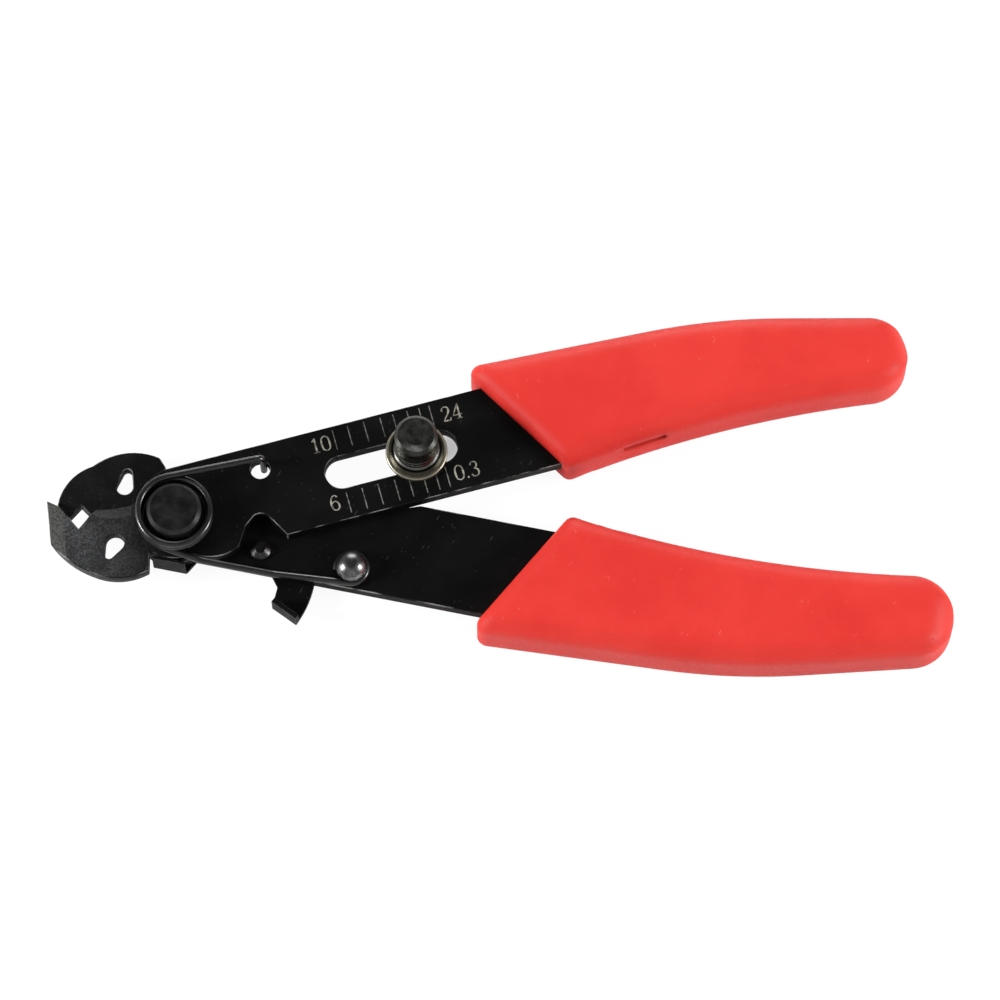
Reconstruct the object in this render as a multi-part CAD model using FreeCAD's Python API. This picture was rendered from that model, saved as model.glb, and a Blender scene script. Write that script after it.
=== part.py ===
"""Adjustable wire stripper and cutter: two stamped arms on one pivot rivet, with a sliding stop."""
import FreeCAD, Part
import math
import os

Vector = FreeCAD.Vector

# Plates and arms. X runs from the pivot towards the grips, Y from the lower to the upper handle, Z up.
plate_thickness = 2.0
plate_gap = 0.1
arm_width = 14.3
upper_arm_angle = 15.4
lower_arm_angle = -11.5
upper_arm_offset = 0.3
lower_arm_offset = 2.25
arm_shoulder = 57.5
tang_reach = 98.0
tang_width = 6.0
tang_drop = 1.5
close_angle = 6.5
hub_radius = 6.2

# Grips, measured along their arm from the pivot, with the outer side positive.
grip_thickness = 9.3
upper_grip_start = 45.3
upper_grip_reach = 108.2
upper_grip_outer_wall = 3.35
upper_grip_inner_wall = 1.1
upper_grip_end_radius = 5.6
upper_grip_end_drop = 2.95
lower_grip_start = 44.5
lower_grip_reach = 111.7
lower_grip_outer_wall = 3.85
lower_grip_inner_wall = 1.75
lower_grip_end_radius = 6.05
lower_grip_end_drop = 3.75
grip_slant = 10.7
grip_knee_place = 82.5
grip_knee_drop = 2.2
grip_knee_radius = 95.0
grip_inner_bow = 170.0
grip_corner_radius = 1.4
grip_edge_radius = 2.2
grip_end_ease = 0.3
grip_slit_start = 64.6
grip_slit_length = 6.5
grip_slit_height = 1.2
grip_slit_drop = 0.3
grip_slit_depth = 2.0
tang_clearance = 0.05

# Pivot rivet and the torsion spring round it.
pivot_shank_radius = 2.5
pivot_head_radius = 3.9
pivot_head_height = 3.7
pivot_shoulder_radius = 4.4
pivot_shoulder_height = 1.2
pivot_rear_radius = 4.5
pivot_chamfer = 0.5
running_clearance = 0.05
wire_diameter = 1.0
wire_gap = 0.02
wire_bend_radius = 1.0
coil_clearance = 0.2
coil_lift = 0.15
coil_arcs = 8
coil_turns = 2
arm_leg_heading = 12.0
arm_leg_length = 13.9
anchor_leg_heading = -19.4
anchor_leg_length = 6.15
eye_run = 11.0
eye_heading = -6.9
eye_sweep = 285.0
leg_start = 1.0

# Spring hole in the upper arm and the domed anchor rivet on the lower arm.
spring_hole_centre = (12.05, 7.25)
spring_hole_room = 0.9
anchor_centre = (25.2, -7.2)
anchor_neck_radius = 1.65
anchor_neck_slack = 0.3
anchor_head_radius = 2.25
anchor_rim_height = 0.4
anchor_dome_height = 1.5
rivet_tail_height = 0.8
rivet_tail_radius = 2.2

# Latch lever behind the lower arm, on its own small rivet. The nose is measured along that arm.
latch_centre = (12.2, -4.4)
latch_thickness = 0.7
latch_gap = 0.05
latch_hub_radius = 1.9
latch_inset = 0.6
latch_bar_room = 0.4
latch_bar_turn = 50.0
latch_bar_shoulder = (5.0, -2.6)
latch_hub_side = 125.0
latch_nose_flank = 1.3
latch_nose_start = -1.9
latch_nose_end = 2.85
latch_nose_thickness = 0.35
latch_nose_gap = 0.1
latch_nose_drop = 0.2
latch_nose_round = 0.55
latch_tab_right = (7.7, -4.0)
latch_tab_bulge = (6.95, -6.8)
latch_tab_tip = (5.1, -10.3)
latch_tab_left = (1.65, -7.75)
latch_tab_root = (2.4, -4.75)
latch_lip_height = 2.4
latch_rivet_radius = 1.2
latch_head_radius = 1.45
latch_head_height = 1.2
latch_tail_radius = 2.0

# Stop: a bolt that slides in the upper arm's slot, a washer and a round thumb nut.
slot_width = 4.9
slot_start = 22.3
slot_end = 41.8
stop_place = 35.8
stop_boss_overlap = 0.55
stop_boss_clearance = 0.3
stop_relief_lead = 2.0
stop_boss_height = 1.8
stop_thread_radius = 2.0
slide_clearance = 0.1
washer_radius = 4.45
washer_thickness = 0.8
nut_radius = 3.1
nut_foot_radius = 4.0
nut_foot_height = 1.0
nut_height = 6.5
nut_groove_depth = 0.3
nut_groove_pitch = 0.8
nut_grooves = 3
nut_cap = 1.0
nut_dish_depth = 0.25

# Jaws, as plan points. The front jaw belongs to the upper arm, the rear jaw to the lower arm.
vee_radius = 13.85
hole_end_radius = 0.65
front_vee_turn = 7.3
front_tip = (-18.5, 2.95)
front_vee_left = (-16.8, 1.9)
front_vee_right = (-11.4, 1.3)
front_edge_turn = 160.0
front_rim_end = (-17.75, -3.6)
front_rim_side = (-15.4, -6.2)
front_rim_low = (-11.5, -8.5)
front_rim_bottom = (-8.7, -9.2)
front_heel = (-3.55, -8.0)
front_hole_centre = (-8.5, -3.85)
front_hole_radius = 1.35
front_hole_end = (-9.3, -5.65)
facet_low = (-15.1, -9.5)
facet_high = (-16.2, 5.2)
facet_slope = 30.0
facet_run = 6.0
scoop_centre = (-9.0, 5.25)
scoop_radius = 5.54
scoop_floor_radius = 2.66
scoop_depth = 1.6
scoop_limit = -6.3
rear_vee_turn = -10.6
rear_vee_left = (-17.3, -1.75)
rear_vee_right = (-10.8, -0.4)
rear_edge_turn = 190.0
rear_tip = (-17.0, 2.6)
rear_rim_side = (-15.75, 5.8)
rear_rim_high = (-12.1, 8.55)
rear_rim_top = (-7.0, 10.6)
rear_corner = (-2.5, 9.8)
rear_heel = (-1.6, 8.3)
rear_hole_centre = (-7.45, 5.4)
rear_hole_radius = 1.2
rear_hole_end = (-7.1, 7.4)
rear_hub_under_turn = 245.0
rear_hub_arm_turn = 52.0
rear_hub_top_turn = 82.0
rear_hub_jaw_turn = 110.0

# Hub of the upper plate and the notch in it that clears the latch rivet.
hub_swell = 0.37
hub_swell_turn = 136.0
hub_low_turn = -63.0
hub_low_bulge = (6.9, -5.75)
hub_low_end = (9.2, -4.4)
notch_place = 14.8
notch_right = (13.4, 0.1)
notch_top = (12.3, 0.55)
notch_left = (11.2, 0.15)
notch_side = (10.1, -1.3)

# How near counts as the same place, where an edge is picked out.
nearly = 0.01

# Levels, from the surface on which the tool lies.
lower_back = (grip_thickness - 2 * plate_thickness - plate_gap) / 2
lower_front = lower_back + plate_thickness
upper_back = lower_front + plate_gap
upper_front = upper_back + plate_thickness
half_arm = arm_width / 2
lower_edge = half_arm - lower_arm_offset
coil_radius = pivot_shoulder_radius + coil_clearance + wire_diameter / 2
coil_pitch = wire_diameter + wire_gap
spring_hole_radius = wire_diameter / 2 + spring_hole_room
stop_boss_radius = slot_width / 2 + stop_boss_overlap
latch_back = lower_back - latch_gap - latch_thickness


def turned(point, degrees):
    """A plan point turned about the pivot."""
    angle = math.radians(degrees)
    x, y = point
    return (x * math.cos(angle) - y * math.sin(angle), x * math.sin(angle) + y * math.cos(angle))


def on_upper(x, y):
    """A plan point from its place along and across the upper arm."""
    return turned((x, y + upper_arm_offset), upper_arm_angle)


def on_lower(x, y):
    """A plan point from its place along and across the lower arm."""
    return turned((x, y + lower_arm_offset), lower_arm_angle)


def beside_lower(x, y):
    """A plan point from its place along and across the line through the pivot, parallel to the lower arm."""
    return turned((x, y), lower_arm_angle)


def shifted(point, step):
    return (point[0] + step[0], point[1] + step[1])


def flat(point, z=0.0):
    return Vector(point[0], point[1], z)


def trace(start, *steps):
    """A closed outline: each step is an end point, or a point on an arc and the arc's end."""
    edges = []
    here = start
    for step in steps:
        if isinstance(step[0], tuple):
            through, end = step
            edges.append(Part.Arc(flat(here), flat(through), flat(end)).toShape())
        else:
            end = step
            edges.append(Part.LineSegment(flat(here), flat(end)).toShape())
        here = end
    if here != start:
        edges.append(Part.LineSegment(flat(here), flat(start)).toShape())
    return Part.Face(Part.Wire(edges))


def slab(face, bottom, height):
    return face.extrude(Vector(0, 0, height)).translated(Vector(0, 0, bottom))


def post(centre, radius, bottom, top):
    return Part.makeCylinder(radius, top - bottom, flat(centre, bottom))


def turning(profile, centre):
    """A solid of revolution about a vertical axis, from (radius, level) points."""
    points = [Vector(radius, 0, level) for radius, level in profile]
    face = Part.Face(Part.makePolygon(points + points[:1]))
    return face.revolve(Vector(0, 0, 0), Vector(0, 0, 1), 360).translated(flat(centre))


def bar(start, end, low, high):
    """A rectangle along an arm, as corner points in the arm's own directions."""
    return [(start, high), (end, high), (end, low), (start, low)]


def rounded(before, corner, after, radius):
    """The start, middle and end of an arc that rounds a corner."""
    back = (before - corner).normalize()
    ahead = (after - corner).normalize()
    half = back.getAngle(ahead) / 2
    setback = radius / math.tan(half)
    middle = (back + ahead).normalize() * (radius / math.sin(half) - radius)
    return corner + back * setback, corner + middle, corner + ahead * setback


def circle_meeting(first, first_radius, second, second_radius, side):
    """The point at the given distances from two others, on one side of the line between them."""
    dx = second[0] - first[0]
    dy = second[1] - first[1]
    apart = math.hypot(dx, dy)
    along = (first_radius ** 2 - second_radius ** 2 + apart ** 2) / (2 * apart)
    across = side * math.sqrt(first_radius ** 2 - along ** 2)
    return (first[0] + (along * dx - across * dy) / apart, first[1] + (along * dy + across * dx) / apart)


def toward(start, end, distance):
    """The point at a distance from start, in the direction of end."""
    length = math.hypot(end[0] - start[0], end[1] - start[1])
    share = distance / length
    return (start[0] + (end[0] - start[0]) * share, start[1] + (end[1] - start[1]) * share)


def circle_top(centre, first, second, radius):
    """The middle of the arc between two points of a circle."""
    middle = ((first[0] + second[0]) / 2, (first[1] + second[1]) / 2)
    return toward(centre, middle, radius)


def teardrop(centre, radius, end):
    """A round hole drawn out to a smaller round end."""
    reach = math.hypot(end[0] - centre[0], end[1] - centre[1])
    lean = math.degrees(math.acos((radius - hole_end_radius) / reach))
    heading = math.degrees(math.atan2(end[1] - centre[1], end[0] - centre[0]))
    turns = [heading + turn for turn in (lean, 180, -lean)]
    first, far, last = [shifted(centre, turned((radius, 0), turn)) for turn in turns]
    turns = [heading + turn for turn in (-lean, 0, lean)]
    right, tip, left = [shifted(end, turned((hole_end_radius, 0), turn)) for turn in turns]
    return trace(left, first, (far, last), right, (tip, left))


def vee_apex(degrees):
    return turned((-vee_radius, 0), degrees)


def upper_plate():
    """Upper arm with the scale slot, and the lower jaw, which is in front."""
    heel = front_heel[0]
    outline = trace(
        front_tip,
        front_vee_left,
        vee_apex(front_vee_turn),
        front_vee_right,
        turned((hub_radius, 0), front_edge_turn),
        (turned((hub_radius + hub_swell, 0), hub_swell_turn), on_upper(0, half_arm)),
        on_upper(arm_shoulder, half_arm),
        on_upper(arm_shoulder, tang_width / 2 - tang_drop),
        on_upper(tang_reach, tang_width / 2 - tang_drop),
        on_upper(tang_reach, -tang_width / 2 - tang_drop),
        on_upper(arm_shoulder, -tang_width / 2 - tang_drop),
        on_upper(arm_shoulder, -half_arm),
        on_upper(notch_place, -half_arm),
        notch_right,
        (notch_top, notch_left),
        notch_side,
        hub_low_end,
        (hub_low_bulge, turned((hub_radius, 0), hub_low_turn)),
        ((0, -hub_radius), (heel, -math.sqrt(hub_radius ** 2 - heel ** 2))),
        front_heel,
        (front_rim_bottom, front_rim_low),
        (front_rim_side, front_rim_end),
    )
    body = slab(outline, upper_back, plate_thickness)
    body = body.cut(nose_waste())
    body = body.cut(edge_waste())
    body = body.cut(slab(stop_slot(slot_width / 2), upper_back, plate_thickness))
    body = body.cut(post((0, 0), pivot_shank_radius + running_clearance, upper_back, upper_front))
    body = body.cut(post(spring_hole_centre, spring_hole_radius, upper_back, upper_front))
    hole = teardrop(front_hole_centre, front_hole_radius, front_hole_end)
    return body.cut(slab(hole, upper_back, plate_thickness))


def nose_waste():
    """What is ground off the front jaw's nose: all above a facet that falls away to the left of a line."""
    line = flat(facet_high) - flat(facet_low)
    left = Vector(-line.y, line.x, 0).normalize() * facet_run
    fall = Vector(0, 0, -facet_run * math.tan(math.radians(facet_slope)))
    foot = flat(facet_low, upper_front)
    return Part.Face(Part.makePolygon([foot, foot + left, foot + left + fall, foot])).extrude(line)


def edge_waste():
    """What is ground off behind the front jaw's cutting edge: a cone's side, up to the hub."""
    floor = upper_front - scoop_depth
    cone = Part.makeCone(scoop_floor_radius, scoop_radius, scoop_depth, flat(scoop_centre, floor))
    corner = flat((scoop_limit - 2 * scoop_radius, scoop_centre[1] - scoop_radius), floor)
    return cone.common(Part.makeBox(2 * scoop_radius, 2 * scoop_radius, scoop_depth, corner))


def stop_slot(half):
    """The slot that the stop slides in, on the upper arm's middle line."""
    first = slot_start + half
    last = slot_end - half
    return trace(
        on_upper(first, half),
        on_upper(last, half),
        (on_upper(slot_end, 0), on_upper(last, -half)),
        on_upper(first, -half),
        (on_upper(slot_start, 0), on_upper(first, half)),
    )


def lower_plate():
    """Lower arm and the upper jaw, which is behind. A hidden edge is relieved for the stop's boss."""
    boss_room = stop_boss_radius + stop_boss_clearance
    relief_angle = upper_arm_angle - close_angle
    relief_level = upper_arm_offset - boss_room
    relief_place = slot_start + slot_width / 2 - boss_room - stop_relief_lead
    spread = math.radians(relief_angle - lower_arm_angle)
    top_edge = half_arm + lower_arm_offset
    relief_reach = (top_edge - relief_level * math.cos(spread)) / math.sin(spread)
    hub_room = max(hub_radius ** 2 - lower_edge ** 2, 0)
    outline = trace(
        rear_vee_left,
        vee_apex(rear_vee_turn),
        rear_vee_right,
        turned((hub_radius, 0), rear_edge_turn),
        (turned((hub_radius, 0), rear_hub_under_turn), on_lower(math.sqrt(hub_room), -half_arm)),
        on_lower(arm_shoulder, -half_arm),
        on_lower(arm_shoulder, tang_drop - tang_width / 2),
        on_lower(tang_reach, tang_drop - tang_width / 2),
        on_lower(tang_reach, tang_drop + tang_width / 2),
        on_lower(arm_shoulder, tang_drop + tang_width / 2),
        on_lower(arm_shoulder, half_arm),
        turned((relief_reach, relief_level), relief_angle),
        turned((relief_place, relief_level), relief_angle),
        turned((hub_radius, 0), rear_hub_arm_turn),
        (turned((hub_radius, 0), rear_hub_top_turn), turned((hub_radius, 0), rear_hub_jaw_turn)),
        rear_heel,
        rear_corner,
        (rear_rim_top, rear_rim_high),
        (rear_rim_side, rear_tip),
    )
    body = slab(outline, lower_back, plate_thickness)
    for centre, radius in (
        ((0, 0), pivot_shank_radius),
        (anchor_centre, anchor_neck_radius),
        (latch_centre, latch_rivet_radius),
    ):
        body = body.cut(post(centre, radius, lower_back, lower_front))
    hole = teardrop(rear_hole_centre, rear_hole_radius, rear_hole_end)
    return body.cut(slab(hole, lower_back, plate_thickness))


def grip(start, reach, outer_wall, inner_wall, end_radius, end_drop, place, outward, plate_back):
    """A moulded sleeve over an arm. Its outer side is towards outward, 1 for up and -1 for down."""
    def spot(x, y):
        return place(x, outward * y)

    front_outer = (start, half_arm + outer_wall)
    front_inner = (start + grip_slant, -half_arm - inner_wall)
    knee = (grip_knee_place, front_outer[1] - grip_knee_drop)
    centre = (reach - end_radius, -end_drop)
    outer_end = tangent_point(knee, centre, end_radius)
    bend = rounded(flat(front_outer), flat(knee), flat(outer_end), grip_knee_radius)
    bend_start, bend_middle, bend_end = [spot(point.x, point.y) for point in bend]
    inner = circle_meeting(front_inner, grip_inner_bow, centre, grip_inner_bow + end_radius, -1)
    inner_end = toward(inner, centre, grip_inner_bow)
    inner_middle = circle_top(inner, front_inner, inner_end, grip_inner_bow)
    outline = trace(
        spot(*front_outer),
        bend_start,
        (bend_middle, bend_end),
        spot(*outer_end),
        (spot(reach, -end_drop), spot(*inner_end)),
        (spot(*inner_middle), spot(*front_inner)),
    )
    body = slab(outline, 0, grip_thickness)
    ends = (spot(*front_outer), spot(*front_inner))
    corners = [edge for edge in body.Edges if stands_at(edge, ends)]
    body = body.makeFillet(grip_corner_radius, corners)
    rims = [edge for edge in body.Edges if edge.BoundBox.ZLength < nearly]
    body = body.makeFillet(grip_edge_radius, rims)
    body = body.common(end_profile(reach + grip_end_ease, spot))
    pocket_bottom = plate_back - tang_clearance
    pocket_height = plate_thickness + 2 * tang_clearance
    wide = half_arm + tang_clearance
    low = -tang_width / 2 - tang_drop - tang_clearance
    high = tang_width / 2 - tang_drop + tang_clearance
    mouth = bar(0, arm_shoulder + tang_clearance, -wide, wide)
    socket = bar(arm_shoulder, tang_reach + tang_clearance, low, high)
    for corners in (mouth, socket):
        room = trace(*[spot(x, y) for x, y in corners])
        body = body.cut(slab(room, pocket_bottom, pocket_height))
    slit_wall = inner[1] + math.sqrt(grip_inner_bow ** 2 - (grip_slit_start - inner[0]) ** 2)
    slit_end = grip_slit_start + grip_slit_length
    slit = bar(grip_slit_start, slit_end, slit_wall - grip_slit_depth, slit_wall + grip_slit_depth)
    room = trace(*[spot(x, y) for x, y in slit])
    slit_bottom = plate_back + plate_thickness - grip_slit_drop - grip_slit_height / 2
    return body.cut(slab(room, slit_bottom, grip_slit_height))


def tangent_point(start, centre, radius):
    """Where the line from start touches a circle, on the outer side."""
    dx = centre[0] - start[0]
    dy = centre[1] - start[1]
    apart = math.hypot(dx, dy)
    heading = math.atan2(dy, dx) + math.asin(radius / apart)
    length = math.sqrt(apart ** 2 - radius ** 2)
    return (start[0] + length * math.cos(heading), start[1] + length * math.sin(heading))


def stands_at(edge, spots):
    """Whether an edge stands upright at one of the plan points."""
    foot = edge.Vertexes[0].Point
    near = any(math.hypot(foot.x - x, foot.y - y) < nearly for x, y in spots)
    return near and edge.BoundBox.ZLength > nearly


def end_profile(reach, spot):
    """A long slab whose far end is fully rounded in side view."""
    radius = grip_thickness / 2
    near, middle, far = [flat(spot(x, -reach)) for x in (0, reach - radius, reach)]
    up = Vector(0, 0, grip_thickness)
    path = [
        Part.LineSegment(near, middle).toShape(),
        Part.Arc(middle, far + up * 0.5, middle + up).toShape(),
        Part.LineSegment(middle + up, near + up).toShape(),
        Part.LineSegment(near + up, near).toShape(),
    ]
    return Part.Face(Part.Wire(path)).extrude(flat(spot(0, reach)) - flat(spot(0, -reach)))


def pivot_rivet():
    top = upper_front + plate_gap + pivot_head_height
    shoulder = upper_front + plate_gap
    return turning(
        [
            (0, 0),
            (pivot_rear_radius - pivot_chamfer, 0),
            (pivot_rear_radius, pivot_chamfer),
            (pivot_rear_radius, lower_back),
            (pivot_shank_radius, lower_back),
            (pivot_shank_radius, shoulder),
            (pivot_shoulder_radius, shoulder),
            (pivot_shoulder_radius, shoulder + pivot_shoulder_height - pivot_chamfer),
            (pivot_shoulder_radius - pivot_chamfer, shoulder + pivot_shoulder_height),
            (pivot_head_radius, shoulder + pivot_shoulder_height),
            (pivot_head_radius, top - pivot_chamfer),
            (pivot_head_radius - pivot_chamfer, top),
            (0, top),
        ],
        (0, 0),
    )


def anchor_rivet():
    """Domed rivet on the lower arm, with a neck for the spring's eye."""
    head = lower_front + wire_diameter + anchor_neck_slack
    rim = head + anchor_rim_height
    sphere_radius = (anchor_head_radius ** 2 + anchor_dome_height ** 2) / (2 * anchor_dome_height)
    ball = Part.makeSphere(sphere_radius, flat(anchor_centre, rim + anchor_dome_height - sphere_radius))
    dome = ball.common(post(anchor_centre, anchor_head_radius, rim, rim + anchor_dome_height))
    tail = lower_back - rivet_tail_height
    body = post(anchor_centre, anchor_neck_radius, lower_back, head)
    body = body.fuse(post(anchor_centre, rivet_tail_radius, tail, lower_back))
    body = body.fuse(post(anchor_centre, anchor_head_radius, head, rim))
    return body.fuse(dome).removeSplitter()


def latch_rivet():
    top = lower_front + latch_head_height
    tail_top = latch_back - running_clearance
    tail = tail_top - rivet_tail_height
    bevel = latch_head_radius / 2
    return turning(
        [
            (0, tail),
            (latch_tail_radius, tail),
            (latch_tail_radius, tail_top),
            (latch_rivet_radius, tail_top),
            (latch_rivet_radius, lower_front),
            (latch_head_radius, lower_front),
            (latch_head_radius, top - bevel),
            (latch_head_radius - bevel, top),
            (0, top),
        ],
        latch_centre,
    )


def latch_lever():
    """Flat lever behind the lower arm, with a nose bent forward at one end and a thumb tab at the other."""
    nose_top = -hub_radius - latch_nose_gap
    nose_low = nose_top - latch_nose_thickness
    bar_low = latch_inset - lower_edge
    bar_room = pivot_rear_radius + latch_bar_room
    x, y = turned(latch_centre, -lower_arm_angle)
    right, bulge, tip, left, root = [
        shifted(latch_centre, step)
        for step in (latch_tab_right, latch_tab_bulge, latch_tab_tip, latch_tab_left, latch_tab_root)
    ]
    outline = trace(
        beside_lower(latch_nose_start, nose_low),
        beside_lower(latch_nose_start, -bar_room),
        beside_lower(0, -bar_room),
        (turned((bar_room, 0), lower_arm_angle - latch_bar_turn), beside_lower(*latch_bar_shoulder)),
        beside_lower(*shifted((x, y), turned((latch_hub_radius, 0), latch_hub_side))),
        (beside_lower(x, y + latch_hub_radius), beside_lower(x + latch_hub_radius, y)),
        right,
        (bulge, tip),
        left,
        root,
        beside_lower(x + latch_hub_radius, bar_low),
        beside_lower(latch_nose_end + latch_nose_flank, bar_low),
        beside_lower(latch_nose_end, nose_low),
    )
    body = slab(outline, latch_back, latch_thickness)
    nose_corners = bar(latch_nose_start, latch_nose_end, nose_low, nose_top)
    nose = trace(*[beside_lower(*corner) for corner in nose_corners])
    body = body.fuse(slab(nose, latch_back, upper_front - latch_nose_drop - latch_back))
    inset = toward((0, 0), (left[1] - tip[1], tip[0] - left[0]), latch_thickness)
    lip = trace(tip, left, shifted(left, inset), shifted(tip, inset))
    body = body.fuse(slab(lip, latch_back, latch_thickness + latch_lip_height)).removeSplitter()
    bend = [edge for edge in body.Edges if is_nose_bend(edge, nose_low)]
    body = body.makeFillet(latch_nose_round, bend)
    return body.cut(post(latch_centre, latch_rivet_radius + running_clearance, latch_back, lower_back))


def is_nose_bend(edge, nose_low):
    """The outer edge along which the latch's nose is bent up."""
    middle = edge.CenterOfMass
    across = turned((middle.x, middle.y), -lower_arm_angle)[1]
    return abs(middle.z - latch_back) < nearly and abs(across - nose_low) < nearly


def stop_bolt():
    """Bolt with a round stop behind the upper arm, a flat-sided neck in the slot and a threaded end."""
    centre = on_upper(stop_place, 0)
    half = slot_width / 2 - slide_clearance
    neck = trace(*[on_upper(x, y) for x, y in bar(stop_place - half, stop_place + half, -half, half)])
    thread_top = upper_front + washer_thickness + nut_height - nut_cap
    body = post(centre, stop_boss_radius, upper_back - stop_boss_height, upper_back)
    core = post(centre, half, upper_back, upper_front)
    body = body.fuse(slab(neck, upper_back, plate_thickness).common(core))
    return body.fuse(post(centre, stop_thread_radius, upper_front, thread_top))


def stop_washer():
    centre = on_upper(stop_place, 0)
    top = upper_front + washer_thickness
    ring = post(centre, washer_radius, upper_front, top)
    return ring.cut(post(centre, stop_thread_radius + running_clearance, upper_front, top))


def thumb_nut():
    """Round nut with a flared foot, grip grooves and a slightly dished top."""
    foot = upper_front + washer_thickness
    top = foot + nut_height
    bore = stop_thread_radius + running_clearance
    profile = [(bore, foot), (nut_foot_radius, foot), (nut_foot_radius, foot + nut_foot_height / 2)]
    level = foot + nut_foot_height
    for _ in range(nut_grooves):
        profile.append((nut_radius, level))
        profile.append((nut_radius - nut_groove_depth, level + nut_groove_pitch / 2))
        level += nut_groove_pitch
    profile += [
        (nut_radius, level),
        (nut_radius, top - pivot_chamfer),
        (nut_radius - pivot_chamfer, top),
        (nut_radius / 2, top - nut_dish_depth),
        (0, top - nut_dish_depth),
        (0, top - nut_cap),
        (bore, top - nut_cap),
    ]
    return turning(profile, on_upper(stop_place, 0))


def bent_path(points):
    """Straight runs with tangent arcs at the corners."""
    edges = []
    here = points[0]
    for corner, after in zip(points[1:-1], points[2:]):
        first, through, last = rounded(here, corner, after, wire_bend_radius)
        edges.append(Part.LineSegment(here, first).toShape())
        edges.append(Part.Arc(first, through, last).toShape())
        here = last
    edges.append(Part.LineSegment(here, points[-1]).toShape())
    return edges


def coil_path(first_turn, swept, low):
    """A rising clockwise coil as equal flat arcs, each leaning so that it runs on smoothly into the next."""
    step = swept / coil_arcs
    half_step = math.radians(step / 2)
    rise = coil_pitch * step / 360
    chord = math.hypot(2 * coil_radius * math.sin(half_step), rise)
    lean = math.asin(rise / chord)
    half = math.atan(math.cos(lean) * math.tan(half_step))
    sagitta = chord / 2 * math.tan(half / 2)
    edges = []
    for number in range(coil_arcs):
        turn = first_turn - number * step
        start = flat(turned((coil_radius, 0), turn), low + number * rise)
        end = flat(turned((coil_radius, 0), turn - step), low + (number + 1) * rise)
        through = (start + end) * 0.5 + flat(turned((sagitta, 0), turn - step / 2))
        edges.append(Part.Arc(start, through, end).toShape())
    return edges


def return_spring():
    """Torsion spring: an eye on the anchor, a coil round the pivot and a leg hooked into the upper arm."""
    first_turn = anchor_leg_heading - 90
    last_turn = arm_leg_heading + 90
    swept = (first_turn - last_turn) % 360 + 360 * coil_turns
    coil = coil_path(first_turn, swept, upper_front + coil_lift + wire_diameter / 2)
    coil_start = coil[0].valueAt(coil[0].FirstParameter)
    coil_end = coil[-1].valueAt(coil[-1].LastParameter)
    anchor_lead = coil_start - coil[0].tangentAt(coil[0].FirstParameter) * leg_start
    arm_lead = coil_end + coil[-1].tangentAt(coil[-1].LastParameter) * leg_start
    eye_radius = anchor_neck_radius + wire_diameter / 2 + running_clearance
    eye_level = lower_front + running_clearance + wire_diameter / 2
    around = [turned((0, -eye_radius), eye_heading + turn) for turn in (eye_sweep, eye_sweep / 2, 0)]
    eye_tail, eye_side, eye_start = [flat(shifted(anchor_centre, step), eye_level) for step in around]
    eye_lead = eye_start - flat(turned((eye_run, 0), eye_heading))
    leg_end = flat(turned((anchor_leg_length, -coil_radius), anchor_leg_heading), anchor_lead.z)
    anchor_leg = [eye_start, eye_lead, leg_end, anchor_lead, coil_start]
    hook = turned((arm_leg_length, coil_radius), arm_leg_heading)
    arm_leg = [coil_end, arm_lead, flat(hook, arm_lead.z), flat(hook, upper_back)]
    eye = [Part.Arc(eye_tail, eye_side, eye_start).toShape()]
    path = Part.Wire(eye + bent_path(anchor_leg) + coil + bent_path(arm_leg))
    ring = Part.makeCircle(wire_diameter / 2, eye_tail, eye[0].tangentAt(eye[0].FirstParameter))
    return path.makePipe(Part.Face(Part.Wire(ring)))


os.makedirs("parts", exist_ok=True)
pieces = {
    "upper_arm_plate": upper_plate(),
    "lower_arm_plate": lower_plate(),
    "upper_grip": grip(
        upper_grip_start, upper_grip_reach, upper_grip_outer_wall, upper_grip_inner_wall,
        upper_grip_end_radius, upper_grip_end_drop, on_upper, 1, upper_back,
    ),
    "lower_grip": grip(
        lower_grip_start, lower_grip_reach, lower_grip_outer_wall, lower_grip_inner_wall,
        lower_grip_end_radius, lower_grip_end_drop, on_lower, -1, lower_back,
    ),
    "pivot_rivet": pivot_rivet(),
    "return_spring": return_spring(),
    "spring_anchor_rivet": anchor_rivet(),
    "latch_lever": latch_lever(),
    "latch_rivet": latch_rivet(),
    "stop_bolt": stop_bolt(),
    "stop_washer": stop_washer(),
    "thumb_nut": thumb_nut(),
}
for name, shape in pieces.items():
    shape.exportStep("parts/" + name + ".step")
    print(name, shape.ShapeType, len(shape.Solids), round(shape.Volume, 2), shape.isValid())
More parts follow.
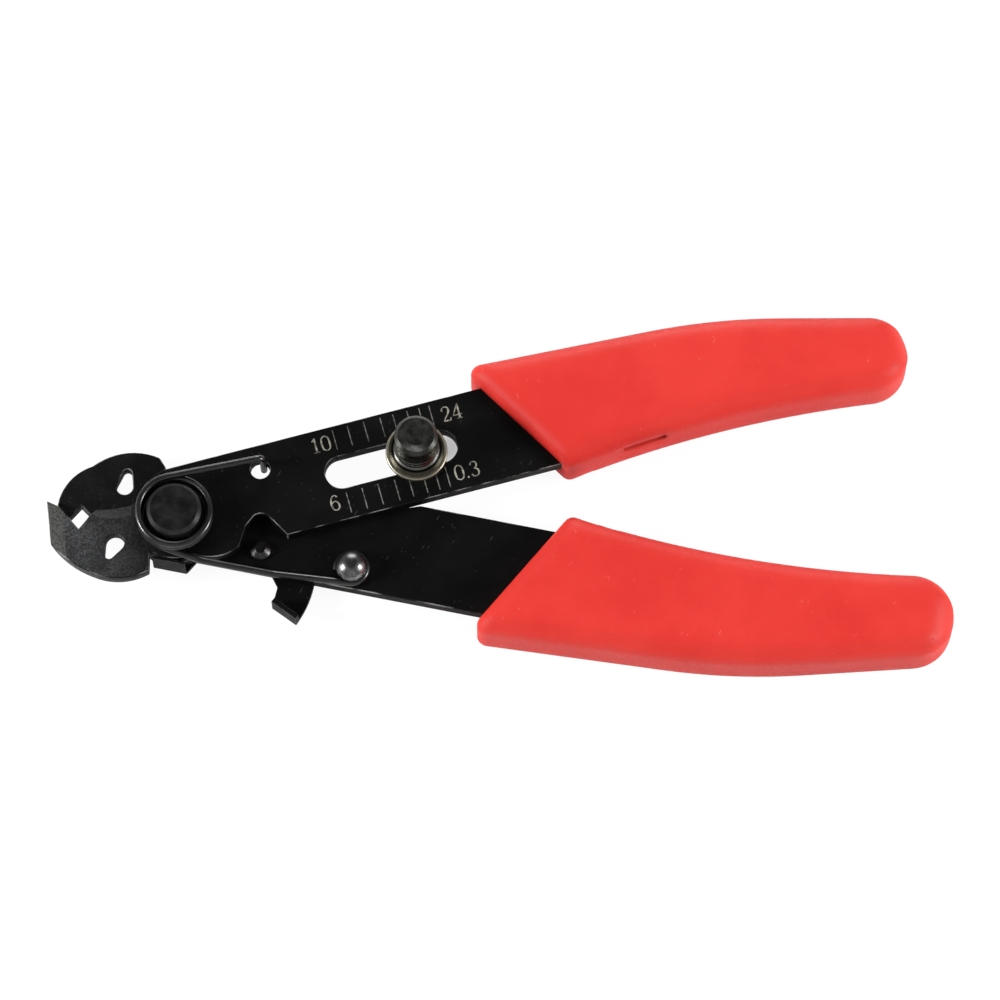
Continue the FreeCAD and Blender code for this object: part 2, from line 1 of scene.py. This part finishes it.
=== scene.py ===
"""Looks of the adjustable wire stripper: finishes, painted scale, spring wire and studio."""
import bpy
import math
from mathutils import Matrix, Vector


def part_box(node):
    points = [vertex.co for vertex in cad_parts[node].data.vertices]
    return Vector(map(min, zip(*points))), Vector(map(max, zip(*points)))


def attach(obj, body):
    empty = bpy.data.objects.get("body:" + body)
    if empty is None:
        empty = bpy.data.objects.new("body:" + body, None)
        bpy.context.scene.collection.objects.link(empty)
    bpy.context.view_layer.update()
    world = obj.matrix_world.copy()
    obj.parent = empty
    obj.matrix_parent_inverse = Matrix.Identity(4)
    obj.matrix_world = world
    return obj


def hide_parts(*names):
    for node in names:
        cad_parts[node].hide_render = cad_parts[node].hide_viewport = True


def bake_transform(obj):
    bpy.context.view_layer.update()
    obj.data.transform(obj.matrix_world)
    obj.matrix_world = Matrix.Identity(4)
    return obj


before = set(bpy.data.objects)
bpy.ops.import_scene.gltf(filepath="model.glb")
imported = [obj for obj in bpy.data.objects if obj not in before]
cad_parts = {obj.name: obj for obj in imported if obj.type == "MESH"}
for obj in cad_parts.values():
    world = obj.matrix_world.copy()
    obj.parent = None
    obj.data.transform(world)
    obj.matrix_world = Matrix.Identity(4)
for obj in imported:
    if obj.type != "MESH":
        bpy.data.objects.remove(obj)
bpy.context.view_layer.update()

MM = 0.001

# Camera, from the photo: it stands south of the tool and looks down on it.
camera_target = Vector((46.40, 5.02, 0)) * MM
camera_distance = 800 * MM
camera_elevation = math.radians(70)
camera_lens = 199.67
sensor_width = 36.0

# The upper arm's own directions, in which the painted scale is laid out, in mm.
arm_angle = math.radians(15.4)
arm_offset = 0.3
paint_lift = 0.015
arm_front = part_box("upper_arm_plate")[1][2] / MM

# Levels on the nut: the top of its tinted foot, and the ridges between its grooves with their spacing.
tint_top = 8.25 * MM
first_ridge = 8.5 * MM
ridge_pitch = 0.8 * MM
last_ridge = 10.9 * MM

# The jaws wear from their root, where they are black, to their tip. Scratches are long and thin.
jaw_tip = -17.5 * MM
jaw_root = 2.0 * MM
scratch_shape = (1, 0.12, 1)

# How soft the edges of the grips look.
grip_softness = 3.2 * MM

# Rounded edges of stamped pieces, in mm, and what is cleaned up before they are rounded.
edge_widths = {"upper_arm_plate": 0.18, "lower_arm_plate": 0.18, "latch_lever": 0.07, "stop_washer": 0.2}
# Pieces whose edges keep their own finish, without the worn and painted-highlight edge colour.
edges_without_wear_or_highlight = ("stop_washer",)
weld_distance = 0.001 * MM
flat_angle = math.radians(0.5)
sharp_angle = math.radians(35)

# The white table: how strongly it glows, how much of that is seen directly and how much in reflections.
table_half = 1.5
table_glow = 1.06
glow_share = 0.88
glow_in_reflections = 0.2

# A soft shadow painted on the table beside the stop, which moves with it and is seen through the end of the
# slot: the table is grey there and glows less.
shadow_place = Vector((39.1, 13.1, 0)) * MM
shadow_narrowing = (1.5, 1, 0)
shadow_core = 0.8 * MM
shadow_edge = 4.2 * MM
shadow_glow = 0.40

# The dim room, and the lamps with their place, size and power.
room_light = 0.15
lamps = [
    ("left", (-0.50, -0.08, 0.28), 0.17, 3.7),
    ("right", (0.60, -0.08, 0.28), 0.17, 3.05),
    ("front", (0.05, -0.75, 0.60), 1.0, 1.2),
    ("back", (0.05, 0.60, 0.25), 0.30, 2.3),
]
lamp_aim = Vector((0.045, 0.0, 0.0))


class Finish:
    """A procedural material: one Principled shader and the nodes that feed it."""

    def __init__(self, name, **sockets):
        self.material = bpy.data.materials.new(name)
        self.material.use_nodes = True
        self.tree = self.material.node_tree
        self.shader = self.tree.nodes["Principled BSDF"]
        self.coordinates = self.tree.nodes.new("ShaderNodeTexCoord").outputs
        self.place = self.coordinates["Object"]
        self.set(**sockets)

    def add(self, kind, inputs, **settings):
        """A new node with its settings and inputs; an input is a value or another node's output."""
        made = self.tree.nodes.new(kind)
        for name, value in settings.items():
            setattr(made, name, value)
        for name, value in inputs.items():
            self.feed(made.inputs[name], value)
        return made

    def feed(self, socket, value):
        if isinstance(value, bpy.types.NodeSocket):
            self.tree.links.new(value, socket)
        else:
            socket.default_value = value

    def set(self, **sockets):
        for name, value in sockets.items():
            self.feed(self.shader.inputs[name.replace("_", " ")], value)

    def drawn_out(self, stretch, turn):
        """Coordinates turned about the vertical and then scaled, to draw out features along one direction."""
        inputs = {"Vector": self.place, "Rotation": (0, 0, turn)}
        turned = self.add("ShaderNodeMapping", inputs).outputs["Vector"]
        return self.vector("MULTIPLY", turned, stretch)

    def noise(self, size, detail=3.0, roughness=0.55):
        """Cloudy noise from 0 to 1 with features of about the given size in metres."""
        inputs = {"Vector": self.place, "Scale": 1 / size, "Detail": detail, "Roughness": roughness}
        return self.add("ShaderNodeTexNoise", inputs).outputs["Fac"]

    def cells(self, size, stretch=(1, 1, 1), turn=0.0):
        """Distance from the middle of scattered cells of about the given size in metres."""
        inputs = {"Vector": self.drawn_out(stretch, turn), "Scale": 1 / size}
        return self.add("ShaderNodeTexVoronoi", inputs).outputs["Distance"]

    def ramp(self, value, low, high, bottom=0.0, top=1.0):
        """Value taken smoothly from bottom to top as it goes from low to high."""
        inputs = {"Value": value, "From Min": low, "From Max": high, "To Min": bottom, "To Max": top}
        made = self.add("ShaderNodeMapRange", inputs, interpolation_type="SMOOTHSTEP")
        return made.outputs["Result"]

    def math(self, operation, first, second=0.0):
        return self.add("ShaderNodeMath", {0: first, 1: second}, operation=operation).outputs[0]

    def vector(self, operation, first, second):
        return self.add("ShaderNodeVectorMath", {0: first, 1: second}, operation=operation).outputs[0]

    def mix(self, share, first, second):
        made = self.add("ShaderNodeMix", {0: share, 6: first, 7: second}, data_type="RGBA")
        return made.outputs[2]

    def axis(self, name):
        return self.add("ShaderNodeSeparateXYZ", {"Vector": self.place}).outputs[name]

    def facing(self, name):
        """How far the surface faces along one of its own axes, from -1 to 1."""
        return self.add("ShaderNodeSeparateXYZ", {"Vector": self.coordinates["Normal"]}).outputs[name]

    def bump(self, height, distance, strength=1.0, base=None):
        inputs = {"Height": height, "Distance": distance, "Strength": strength}
        if base:
            inputs["Normal"] = base
        return self.add("ShaderNodeBump", inputs).outputs["Normal"]

    def softened(self, radius):
        """Surface direction as if the edges were rounded by the given radius."""
        return self.add("ShaderNodeBevel", {"Radius": radius}, samples=8).outputs["Normal"]

    def specks(self, size, share, stretch=(1, 1, 1), turn=0.0):
        """Sparse small marks: 1 inside a mark, 0 elsewhere. A larger share gives more of them."""
        spot = self.ramp(self.cells(size, stretch, turn), 0.10, 0.18, 1.0, 0.0)
        patch = self.ramp(self.noise(size * 2.6, detail=1.0), 0.62 - share, 0.66 - share)
        return self.math("MULTIPLY", spot, patch)


def grey(level):
    return (level, level, level, 1)


def black_oxide(name, bareness):
    """Blackened plate: near black, with specks and scratches, worn to mottled grey steel at the jaws; the jaw
    faces that look left are bare steel, painted lighter as a highlight.
    """
    finish = Finish(name, Specular_IOR_Level=0.06)
    cloud = finish.noise(0.004, detail=4.0)
    grain = finish.noise(0.0003, detail=3.0)
    scratch = finish.specks(0.0006, 0.04, stretch=scratch_shape, turn=0.5)
    dust = finish.specks(0.0007, 0.06)
    jaw = finish.ramp(finish.axis("X"), jaw_tip, jaw_root, 1.0, 0.0)
    mottle = finish.ramp(finish.math("ADD", cloud, finish.math("MULTIPLY", grain, 0.5)), 0.55, 0.95)
    bare = finish.math("MULTIPLY", jaw, finish.ramp(mottle, 0.0, 1.0, 0.45 * bareness, 0.85 * bareness))
    # Jaw faces that look left: bare grey steel, painted lighter as the highlight they catch.
    ground_bevel_and_highlight = finish.math("MULTIPLY", finish.ramp(finish.facing("X"), -0.4, -0.25, bareness, 0.0), jaw)
    dark = finish.mix(cloud, grey(0.0032), grey(0.0058))
    steel = finish.mix(finish.ramp(grain, 0.3, 0.7), grey(0.05), (0.095, 0.097, 0.102, 1))
    worn = finish.mix(finish.ramp(grain, 0.3, 0.7), (0.03, 0.031, 0.028, 1), (0.085, 0.085, 0.080, 1))
    colour = finish.mix(ground_bevel_and_highlight, finish.mix(bare, dark, steel), worn)
    marks = finish.math("MULTIPLY", finish.math("MAXIMUM", scratch, dust), 0.3)
    finish.set(Base_Color=finish.mix(marks, colour, grey(0.09)))
    finish.set(Roughness=finish.ramp(cloud, 0.3, 0.75, 0.36, 0.50))
    finish.set(Normal=finish.bump(grain, 0.00002, 0.35))
    return finish.material


def bare_edge_and_highlight():
    """Edges of the blackened plates: worn bare in places and painted bright there as highlights, black
    between.
    """
    finish = Finish("bare_edge_and_highlight", Specular_IOR_Level=0.15)
    patch = finish.noise(0.0035, detail=2.0)
    grain = finish.noise(0.0004, detail=2.0)
    # Patches of bare steel, painted bright as highlights on the edges.
    bare_patch_and_highlight = finish.ramp(finish.math("ADD", patch, finish.math("MULTIPLY", grain, 0.2)), 0.52, 0.76)
    finish.set(Base_Color=finish.mix(bare_patch_and_highlight, grey(0.006), (0.24, 0.24, 0.23, 1)))
    finish.set(Roughness=finish.ramp(patch, 0.3, 0.7, 0.42, 0.30))
    return finish.material


def blackened_wire():
    """Spring wire: blackened steel under a thin film of oil, so that the lamps show as lines along it."""
    finish = Finish("blackened_wire", Metallic=1.0, Coat_Weight=0.8, Coat_Roughness=0.22)
    cloud = finish.noise(0.0015, detail=3.0)
    drawn = finish.noise(0.0005, detail=2.0)
    finish.set(Base_Color=finish.mix(cloud, grey(0.028), grey(0.048)))
    finish.set(Roughness=finish.ramp(cloud, 0.3, 0.7, 0.36, 0.46))
    finish.set(Normal=finish.bump(drawn, 0.00001, 0.3))
    return finish.material


def riveted_head():
    """Flat head of the pivot: blackened and mottled, with a painted grey highlight round its edge."""
    finish = Finish("riveted_head", Specular_IOR_Level=0.25)
    cloud = finish.noise(0.0022, detail=5.0, roughness=0.65)
    grain = finish.noise(0.0004, detail=2.0)
    rim_highlight = finish.ramp(finish.facing("Z"), 0.93, 0.99, 1.0, 0.0)
    face = finish.mix(finish.ramp(cloud, 0.35, 0.7), grey(0.0035), grey(0.012))
    # Its chamfered edge is painted grey in patches as a highlight.
    finish.set(Base_Color=finish.mix(finish.math("MULTIPLY", rim_highlight, cloud), face, grey(0.03)))
    finish.set(Roughness=finish.ramp(cloud, 0.3, 0.7, 0.30, 0.46))
    finish.set(Normal=finish.bump(grain, 0.00002, 0.4))
    return finish.material


def red_plastic():
    """Moulded grips: warm red with a soft gloss and soft edges, faint clouds, grain and thin scratches."""
    finish = Finish("red_plastic", Specular_IOR_Level=0.25)
    cloud = finish.noise(0.012, detail=3.0)
    grain = finish.noise(0.0005, detail=3.0)
    fine = finish.specks(0.0005, -0.05, stretch=scratch_shape, turn=0.6)
    steep = finish.specks(0.0005, -0.05, stretch=scratch_shape, turn=-0.35)
    dust = finish.specks(0.0005, -0.02)
    colour = finish.mix(finish.ramp(cloud, 0.3, 0.7), (0.70, 0.032, 0.024, 1), (0.76, 0.043, 0.032, 1))
    marks = finish.math("MAXIMUM", finish.math("MAXIMUM", fine, steep), dust)
    finish.set(Base_Color=finish.mix(finish.math("MULTIPLY", marks, 0.2), colour, (0.92, 0.42, 0.36, 1)))
    finish.set(Roughness=finish.ramp(grain, 0.3, 0.7, 0.42, 0.56))
    finish.set(Normal=finish.bump(grain, 0.00002, 0.5, finish.softened(grip_softness)))
    return finish.material


def bare_steel(name, shaded_face_low, shaded_face_high, lit_side_low, lit_side_high):
    """Steel rivets: the face, which looks up, is painted darker as shade and the sides lighter as highlights,
    both dulled in patches.
    """
    finish = Finish(name, Metallic=1.0)
    cloud = finish.noise(0.0012, detail=4.0)
    grain = finish.noise(0.0002, detail=2.0)
    patch = finish.ramp(cloud, 0.35, 0.7)
    # Painted light: the face is darker as shade, the sides lighter as highlights.
    up = finish.ramp(finish.facing("Z"), 0.88, 0.97)
    face = finish.mix(patch, grey(shaded_face_low), grey(shaded_face_high))
    side = finish.mix(patch, grey(lit_side_low), grey(lit_side_high))
    finish.set(Base_Color=finish.mix(up, side, face))
    finish.set(Roughness=finish.ramp(cloud, 0.3, 0.7, 0.36, 0.24))
    finish.set(Normal=finish.bump(grain, 0.00002, 0.4))
    return finish.material


def tinted_zinc():
    """Plated washer with a yellow tint."""
    finish = Finish("tinted_zinc", Metallic=1.0)
    cloud = finish.noise(0.0016, detail=4.0)
    grain = finish.noise(0.0002, detail=2.0)
    finish.set(Base_Color=finish.mix(cloud, (0.30, 0.26, 0.16, 1), (0.62, 0.60, 0.52, 1)))
    finish.set(Roughness=finish.ramp(cloud, 0.3, 0.7, 0.48, 0.34))
    finish.set(Normal=finish.bump(grain, 0.00001, 0.3))
    return finish.material


def dark_steel():
    """Thumb nut: darkened steel with a mottled top and a tinted foot; its grooved side is painted with
    highlights on the ridges and shade in the grooves.
    """
    finish = Finish("dark_steel", Metallic=1.0)
    cloud = finish.noise(0.0018, detail=5.0, roughness=0.65)
    grain = finish.noise(0.0002, detail=2.0)
    top = finish.ramp(finish.facing("Z"), 0.90, 0.99)
    level = finish.axis("Z")
    # Painted light on the grooved side: highlights on the ridges, shade in the grooves.
    turns = finish.math("MULTIPLY", finish.math("SUBTRACT", level, first_ridge), 2 * math.pi / ridge_pitch)
    ridge_highlight_mask = finish.ramp(finish.math("COSINE", turns), 0.3, 0.98)
    grooved = finish.ramp(level, last_ridge, last_ridge + 0.3 * MM, 1.0, 0.0)
    ridge_highlights_and_groove_shade = finish.mix(ridge_highlight_mask, (0.004, 0.004, 0.0035, 1), (0.17, 0.17, 0.155, 1))
    side = finish.mix(grooved, (0.07, 0.07, 0.064, 1), ridge_highlights_and_groove_shade)
    foot = finish.mix(cloud, (0.035, 0.031, 0.019, 1), (0.10, 0.094, 0.07, 1))
    side = finish.mix(finish.ramp(level, tint_top - 0.1 * MM, tint_top, 1.0, 0.0), side, foot)
    face = finish.mix(finish.ramp(cloud, 0.35, 0.75), (0.035, 0.035, 0.031, 1), (0.24, 0.24, 0.218, 1))
    finish.set(Base_Color=finish.mix(top, side, face))
    finish.set(Roughness=finish.ramp(cloud, 0.3, 0.7, 0.36, 0.24))
    finish.set(Normal=finish.bump(grain, 0.00001, 0.4))
    return finish.material


def cream_paint(name, fresh, thin):
    """Scale marks: cream paint in shallow stamping, worn thin in places."""
    finish = Finish(name, Specular_IOR_Level=0.2)
    wear = finish.noise(0.0006, detail=3.0)
    finish.set(Base_Color=finish.mix(finish.ramp(wear, 0.40, 0.66), fresh, thin))
    finish.set(Roughness=finish.ramp(wear, 0.3, 0.7, 0.55, 0.75))
    return finish.material


def paint_nodes():
    """Give each CAD node its finish."""
    rivets = bare_steel("bare_steel", 0.06, 0.20, 0.12, 0.32)
    red = red_plastic()
    finishes = {
        "upper_arm_plate": black_oxide("black_oxide_front", 1.0),
        "lower_arm_plate": black_oxide("black_oxide_rear", 0.12),
        "pivot_rivet": riveted_head(),
        "latch_lever": black_oxide("black_oxide_latch", 0.0),
        "upper_grip": red,
        "lower_grip": red,
        "return_spring": blackened_wire(),
        "spring_anchor_rivet": rivets,
        "stop_bolt": rivets,
        "latch_rivet": bare_steel("dulled_steel", 0.02, 0.05, 0.07, 0.15),
        "stop_washer": tinted_zinc(),
        "thumb_nut": dark_steel(),
    }
    for name, finish in finishes.items():
        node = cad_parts[name]
        node.data.materials.clear()
        node.data.materials.append(finish)


def break_edges():
    """Stamped plates have slightly rounded edges, which catch the light; their colour is worn bare and
    painted bright as highlights in places.
    """
    edge = bare_edge_and_highlight()
    for name, width in edge_widths.items():
        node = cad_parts[name]
        weld = node.modifiers.new("weld", "WELD")
        weld.merge_threshold = weld_distance
        join = node.modifiers.new("join", "DECIMATE")
        join.decimate_type = "DISSOLVE"
        join.angle_limit = flat_angle
        bevel = node.modifiers.new("edge", "BEVEL")
        bevel.width = width * MM
        bevel.segments = 2
        bevel.limit_method = "ANGLE"
        bevel.angle_limit = sharp_angle
        bevel.harden_normals = True
        # Bevel faces take the edge colour: bare steel in patches, painted bright as highlights.
        if name not in edges_without_wear_or_highlight:
            node.data.materials.append(edge)
            bevel.material = 1


def piece(name, vertices, faces, material):
    """A new object with one material."""
    mesh = bpy.data.meshes.new(name)
    mesh.from_pydata(vertices, [], faces)
    mesh.materials.append(material)
    made = bpy.data.objects.new(name, mesh)
    bpy.context.scene.collection.objects.link(made)
    return made


def return_spring():
    """A copy of the spring's mesh stands in place of the hidden CAD node."""
    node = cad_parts["return_spring"]
    spring = bpy.data.objects.new("return_spring_wire", node.data.copy())
    bpy.context.scene.collection.objects.link(spring)
    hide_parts("return_spring")
    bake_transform(spring)


# Numerals as strokes: each is a run of (x, y, width) points, in parts of the numeral's height.
NUMERALS = {
    "0": (0.62, [
        [(0.31, 1.0, 0.07), (0.11, 0.86, 0.11), (0.06, 0.5, 0.14), (0.11, 0.14, 0.11), (0.31, 0.0, 0.07)],
        [(0.31, 1.0, 0.07), (0.51, 0.86, 0.11), (0.56, 0.5, 0.14), (0.51, 0.14, 0.11), (0.31, 0.0, 0.07)],
    ]),
    "1": (0.52, [
        [(0.27, 1.0, 0.13), (0.27, 0.02, 0.13)],
        [(0.08, 0.80, 0.06), (0.17, 0.87, 0.07), (0.27, 0.98, 0.08)],
        [(0.08, 0.03, 0.06), (0.46, 0.03, 0.06)],
    ]),
    "2": (0.60, [
        [(0.08, 0.72, 0.13), (0.12, 0.90, 0.09), (0.30, 0.99, 0.07), (0.48, 0.90, 0.11), (0.50, 0.70, 0.13),
         (0.40, 0.48, 0.10), (0.22, 0.26, 0.07), (0.08, 0.06, 0.07)],
        [(0.07, 0.05, 0.11), (0.30, 0.05, 0.11), (0.50, 0.05, 0.10), (0.55, 0.20, 0.06)],
    ]),
    "3": (0.58, [
        [(0.09, 0.80, 0.13), (0.16, 0.94, 0.08), (0.30, 0.99, 0.07), (0.46, 0.90, 0.11), (0.47, 0.70, 0.12),
         (0.36, 0.56, 0.08), (0.24, 0.53, 0.06)],
        [(0.24, 0.53, 0.06), (0.40, 0.50, 0.08), (0.52, 0.36, 0.13), (0.50, 0.13, 0.12), (0.32, 0.01, 0.07),
         (0.15, 0.05, 0.08), (0.07, 0.18, 0.13)],
    ]),
    "4": (0.64, [
        [(0.42, 1.0, 0.12), (0.42, 0.02, 0.13)],
        [(0.42, 0.99, 0.07), (0.22, 0.64, 0.06), (0.04, 0.30, 0.06)],
        [(0.03, 0.28, 0.07), (0.60, 0.28, 0.07)],
        [(0.26, 0.03, 0.06), (0.58, 0.03, 0.06)],
    ]),
    "6": (0.60, [
        [(0.50, 0.86, 0.13), (0.42, 0.97, 0.07), (0.28, 0.97, 0.08), (0.11, 0.76, 0.12), (0.07, 0.40, 0.14),
         (0.13, 0.10, 0.11), (0.31, 0.0, 0.07), (0.49, 0.10, 0.11), (0.54, 0.32, 0.13), (0.46, 0.53, 0.10),
         (0.31, 0.60, 0.07), (0.16, 0.52, 0.07), (0.09, 0.38, 0.07)],
    ]),
    ".": (0.18, [
        [(0.09, -0.01, 0.07), (0.09, 0.06, 0.15), (0.09, 0.13, 0.07)],
    ]),
}

# The scale on the upper arm, in mm: each text with the middle of it along and across the arm, then the ticks.
numeral_height = 2.28
numeral_gap = 0.22
stroke_weight = 0.84
scale_marks = [("10", 22.9, 4.85), ("24", 42.25, 4.6), ("6", 22.55, -4.3), ("0.3", 42.0, -4.55)]
tick_width = 0.13
upper_ticks = (25.0, 27.25, 29.65, 32.1, 34.0, 36.1, 37.85, 39.35)
lower_ticks = (24.5, 26.85, 29.2, 31.65, 33.7, 35.8, 37.6, 39.15)
upper_tick_ends = (3.5, 6.55)
lower_tick_ends = (-6.35, -3.15)


def on_arm(x, y):
    """A point on the upper arm's front face, from its place along and across the arm in mm."""
    across = y + arm_offset
    east = x * math.cos(arm_angle) - across * math.sin(arm_angle)
    north = x * math.sin(arm_angle) + across * math.cos(arm_angle)
    return Vector((east, north, arm_front + paint_lift)) * MM


def smoothed(points, cuts=6):
    """Points along a smooth curve through the given ones."""
    ends = [points[0]] + points + [points[-1]]
    line = []
    for a, b, c, d in zip(ends, ends[1:], ends[2:], ends[3:]):
        for step in range(cuts):
            t = step / cuts
            line.append(tuple(
                0.5 * (2 * q + (r - p) * t + (2 * p - 5 * q + 4 * r - s) * t * t
                       + (3 * q - p - 3 * r + s) * t ** 3)
                for p, q, r, s in zip(a, b, c, d)
            ))
    return line + [points[-1]]


def ribbon(points, vertices, faces):
    """A flat stroke along (x, y, width) points, added to the vertices and faces."""
    for number, (x, y, width) in enumerate(points):
        before = points[max(number - 1, 0)]
        after = points[min(number + 1, len(points) - 1)]
        dx = after[0] - before[0]
        dy = after[1] - before[1]
        length = math.hypot(dx, dy)
        side = (-dy / length * width / 2, dx / length * width / 2)
        vertices.append(on_arm(x + side[0], y + side[1]))
        vertices.append(on_arm(x - side[0], y - side[1]))
        if number:
            last = len(vertices)
            faces.append((last - 4, last - 3, last - 1, last - 2))


def scale():
    """The painted wire scale: two rows of ticks beside the slot and a numeral at each end."""
    vertices, faces = [], []
    for text, middle, across in scale_marks:
        widths = [NUMERALS[letter][0] * numeral_height for letter in text]
        left = middle - (sum(widths) + numeral_gap * (len(text) - 1)) / 2
        for letter, width in zip(text, widths):
            for stroke in NUMERALS[letter][1]:
                run = smoothed(stroke) if len(stroke) > 2 else stroke
                placed = [
                    (
                        left + x * numeral_height,
                        across + (y - 0.5) * numeral_height,
                        w * numeral_height * stroke_weight,
                    )
                    for x, y, w in run
                ]
                ribbon(placed, vertices, faces)
            left += width + numeral_gap
    paint = cream_paint("numeral_paint", (0.36, 0.345, 0.285, 1), (0.12, 0.115, 0.10, 1))
    numerals = piece("scale_numerals", vertices, faces, paint)
    vertices, faces = [], []
    for places, (low, high) in ((upper_ticks, upper_tick_ends), (lower_ticks, lower_tick_ends)):
        for x in places:
            ribbon([(x, low, tick_width), (x, high, tick_width)], vertices, faces)
    paint = cream_paint("tick_paint", (0.22, 0.215, 0.195, 1), (0.06, 0.06, 0.055, 1))
    ticks = piece("scale_ticks", vertices, faces, paint)
    for made in (numerals, ticks):
        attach(made, "upper_handle")


def studio():
    """A white table, a dim room and four soft lamps: left, right, behind the camera and opposite it."""
    world = bpy.data.worlds.new("studio")
    bpy.context.scene.world = world
    world.use_nodes = True
    tree = world.node_tree
    room = tree.nodes["Background"]
    room.inputs["Color"].default_value = grey(1.0)
    room.inputs["Strength"].default_value = room_light
    white = tree.nodes.new("ShaderNodeBackground")
    white.inputs["Color"].default_value = grey(1.0)
    ray = tree.nodes.new("ShaderNodeLightPath")
    choice = tree.nodes.new("ShaderNodeMixShader")
    tree.links.new(ray.outputs["Is Camera Ray"], choice.inputs[0])
    tree.links.new(room.outputs[0], choice.inputs[1])
    tree.links.new(white.outputs[0], choice.inputs[2])
    tree.links.new(choice.outputs[0], tree.nodes["World Output"].inputs["Surface"])
    floor()
    for settings in lamps:
        lamp(*settings)


def floor():
    """White table. It glows white where it is seen, but beside the stop a soft shadow is painted: grey, with
    less glow.
    """
    half = table_half
    corners = [(-half, -half, 0), (half, -half, 0), (half, half, 0), (-half, half, 0)]
    finish = Finish("floor", Roughness=0.9, Specular_IOR_Level=0.0)
    glow = finish.add("ShaderNodeEmission", {"Color": grey(1.0), "Strength": table_glow}).outputs[0]
    ray = finish.add("ShaderNodeLightPath", {}).outputs
    seen = finish.math("MAXIMUM", ray["Is Camera Ray"], ray["Is Transmission Ray"])
    reflected = finish.math("MULTIPLY", ray["Is Glossy Ray"], glow_in_reflections)
    seen = finish.math("MAXIMUM", seen, reflected)
    beside = finish.add("ShaderNodeTexCoord", {}, object=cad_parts["stop_washer"]).outputs["Object"]
    narrowed = finish.vector("MULTIPLY", finish.vector("SUBTRACT", beside, shadow_place), shadow_narrowing)
    apart = finish.add("ShaderNodeVectorMath", {0: narrowed}, operation="LENGTH").outputs["Value"]
    outside_painted_shadow = finish.ramp(apart, shadow_core, shadow_edge, shadow_glow, 1.0)
    white = finish.mix(finish.noise(0.3), grey(0.90), grey(0.92))
    # Painted shadow beside the stop: grey table colour and less glow.
    finish.set(Base_Color=finish.mix(outside_painted_shadow, grey(0.45), white))
    share = finish.math("MULTIPLY", seen, finish.math("MULTIPLY", outside_painted_shadow, glow_share))
    lit = finish.shader.outputs[0]
    shown = finish.add("ShaderNodeMixShader", {0: share, 1: lit, 2: glow}).outputs[0]
    finish.tree.links.new(shown, finish.tree.nodes["Material Output"].inputs["Surface"])
    piece("floor", corners, [(0, 1, 2, 3)], finish.material)


def lamp(name, place, size, power):
    """A square lamp that shines on the tool."""
    data = bpy.data.lights.new(name, "AREA")
    data.shape = "SQUARE"
    data.size = size
    data.energy = power
    made = bpy.data.objects.new(name, data)
    bpy.context.scene.collection.objects.link(made)
    made.location = place
    aim = lamp_aim - made.location
    made.rotation_euler = aim.to_track_quat("-Z", "Y").to_euler()


def camera():
    """The camera of the photo."""
    data = bpy.data.cameras.new("camera")
    data.lens = camera_lens
    data.sensor_width = sensor_width
    data.clip_start = 0.01
    data.clip_end = 10
    eye = bpy.data.objects.new("camera", data)
    bpy.context.scene.collection.objects.link(eye)
    ahead = Vector((0, math.cos(camera_elevation), -math.sin(camera_elevation)))
    eye.location = camera_target - camera_distance * ahead
    eye.rotation_euler = ahead.to_track_quat("-Z", "Y").to_euler()
    bpy.context.scene.camera = eye


paint_nodes()
break_edges()
return_spring()
scale()
studio()
camera()
bpy.context.scene.view_settings.view_transform = "Standard"
